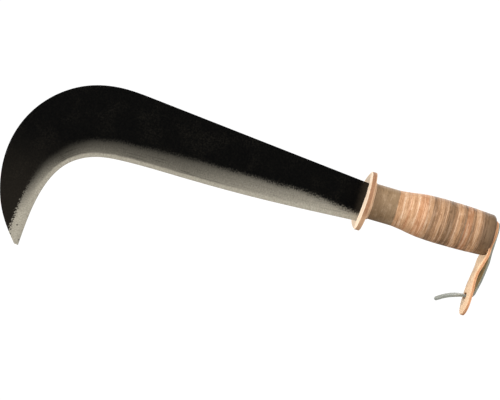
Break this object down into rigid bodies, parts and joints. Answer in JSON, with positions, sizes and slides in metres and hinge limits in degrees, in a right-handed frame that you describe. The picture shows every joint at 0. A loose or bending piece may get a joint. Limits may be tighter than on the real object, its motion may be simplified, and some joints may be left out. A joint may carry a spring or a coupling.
{
  "type": "hand sickle",
  "caption": "Hooked hand sickle: forged blade with a ground inner edge, stacked-leather grip with a round guard, and a steel belt hook kept by a leather tongue.",
  "frame": {"origin": "centre of the grip, halfway between the guard's back and the butt face, on the tang's axis", "axes": "+X along the handle towards its butt, +Z towards the blade's back, so that the cutting edge faces -Z; Y is across the blade"},
  "size_m": [0.4358, 0.0532, 0.1585],
  "materials": {
    "forged_steel": "black forge scale with a bare ground bevel",
    "hook_steel": "dull bare steel",
    "leather_cream": "undyed veg-tanned leather, grain side",
    "leather_strap": "undyed veg-tanned leather strap, raw cut edge",
    "leather_collar": "grey-brown leather, sanded and waxed",
    "leather_tan": "tan leather edge, sanded and waxed",
    "leather_light": "light tan leather edge, sanded and waxed",
    "leather_salmon": "pinkish leather edge, sanded and waxed",
    "leather_brown": "brown leather edge, sanded and waxed",
    "leather_dark": "dark brown leather edge, sanded and waxed"
  },
  "bodies": {
    "tool": {"blade": "forged_steel", "guard": "leather_cream", "guard_backing_washer": "leather_cream", "dark_spacer_washer": "leather_dark", "collar": "leather_collar", "grip_washer_01": "leather_light", "grip_washer_02": "leather_light", "grip_washer_03": "leather_cream", "grip_washer_04": "leather_light", "grip_washer_05": "leather_light", "grip_washer_06": "leather_salmon", "grip_washer_07": "leather_cream", "grip_washer_08": "leather_light", "grip_washer_09": "leather_light", "grip_washer_10": "leather_cream", "grip_washer_11": "leather_salmon", "grip_washer_12": "leather_salmon", "grip_washer_13": "leather_salmon", "grip_washer_14": "leather_light", "grip_washer_15": "leather_tan", "grip_washer_16": "leather_brown", "grip_washer_17": "leather_brown", "grip_washer_18": "leather_tan", "grip_washer_19": "leather_brown", "grip_washer_20": "leather_brown", "grip_washer_21": "leather_dark", "grip_washer_22": "leather_dark", "grip_washer_23": "leather_brown", "grip_washer_24": "leather_tan", "grip_washer_25": "leather_tan", "grip_washer_26": "leather_brown", "grip_washer_27": "leather_brown", "grip_washer_28": "leather_salmon", "grip_washer_29": "leather_salmon", "grip_washer_30": "leather_brown", "grip_washer_31": "leather_tan", "grip_washer_32": "leather_tan", "grip_washer_33": "leather_brown", "grip_washer_34": "leather_dark", "butt_washer": "leather_dark", "butt_cap": "leather_dark", "tongue_clamp": "leather_strap", "belt_hook": "hook_steel"},
    "tongue": {"tongue": "leather_strap"}
  },
  "joints": [
    {"name": "tongue_flex", "type": "hinge", "parent": "tool", "child": "tongue", "pos_m": [0.057, 0, -0.01735], "axis": [0, 1, 0], "range_deg": [-1.5, 4], "stiffness_Nm_per_rad": 0.1}
  ]
}
